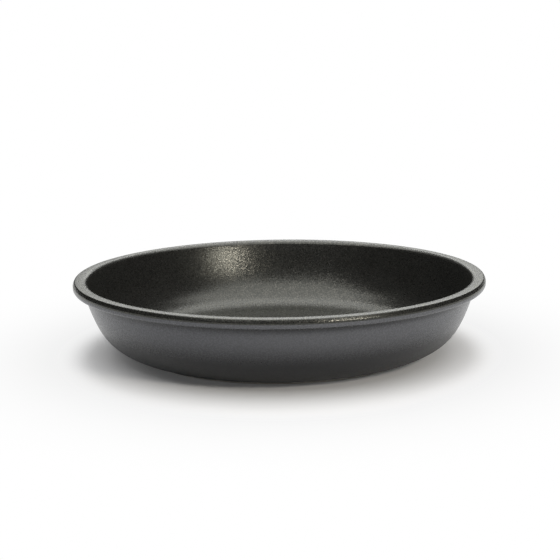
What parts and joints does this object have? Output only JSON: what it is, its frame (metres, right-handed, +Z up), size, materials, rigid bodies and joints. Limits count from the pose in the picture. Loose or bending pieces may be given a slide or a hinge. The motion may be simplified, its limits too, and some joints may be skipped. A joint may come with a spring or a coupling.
{
  "type": "tarte tatin pan",
  "caption": "Round handle-less cast pan with a flat, thick-edged rim, a bowl-shaped wall, a dark non-stick coating and an induction base, for hob and oven.",
  "frame": {"origin": "centre of the foot ring's lower face, on the surface that the pan stands on", "axes": "+Z up along the pan's axis of revolution, X and Y across the rim"},
  "size_m": [0.28, 0.28, 0.052],
  "materials": {
    "cast_aluminium": "bare, finely turned on the foot ring and the studs",
    "interior_non_stick": "satin charcoal film with fine warm mica grain",
    "exterior_non_stick": "satin charcoal film with fine cool mica grain",
    "induction_steel": "brushed in circles"
  },
  "bodies": {
    "root": {"pan_body": "cast_aluminium", "interior_coating": "interior_non_stick", "exterior_coating": "exterior_non_stick", "induction_disc": "induction_steel"}
  },
  "joints": []
}
